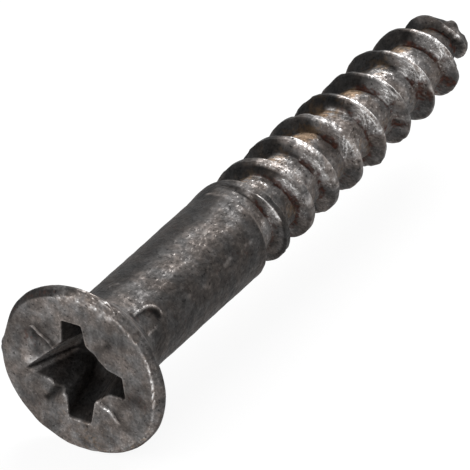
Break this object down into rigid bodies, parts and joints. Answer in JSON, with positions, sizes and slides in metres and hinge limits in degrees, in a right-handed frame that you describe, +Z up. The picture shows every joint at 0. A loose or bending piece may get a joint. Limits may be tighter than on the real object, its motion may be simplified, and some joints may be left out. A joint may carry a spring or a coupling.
{
  "type": "wood screw",
  "caption": "Countersunk wood screw with a type Z cross recess, a plain shank, a right-hand thread and a blunt worn tip.",
  "frame": {"origin": "centre of the head's flat face, on the screw's axis", "axes": "+Y along the screw's axis from head to tip; +Z up with the screw lying on its side; +X to the right seen from the head"},
  "size_m": [0.0076, 0.0278, 0.0076],
  "materials": {
    "steel": "plain steel gone dark grey with age: pitted and dull, bright where the thread's crests and the head's edge have worn, red-brown rust in the thread's roots, near black in the recess"
  },
  "bodies": {
    "root": {"wood_screw": "steel"}
  },
  "joints": []
}
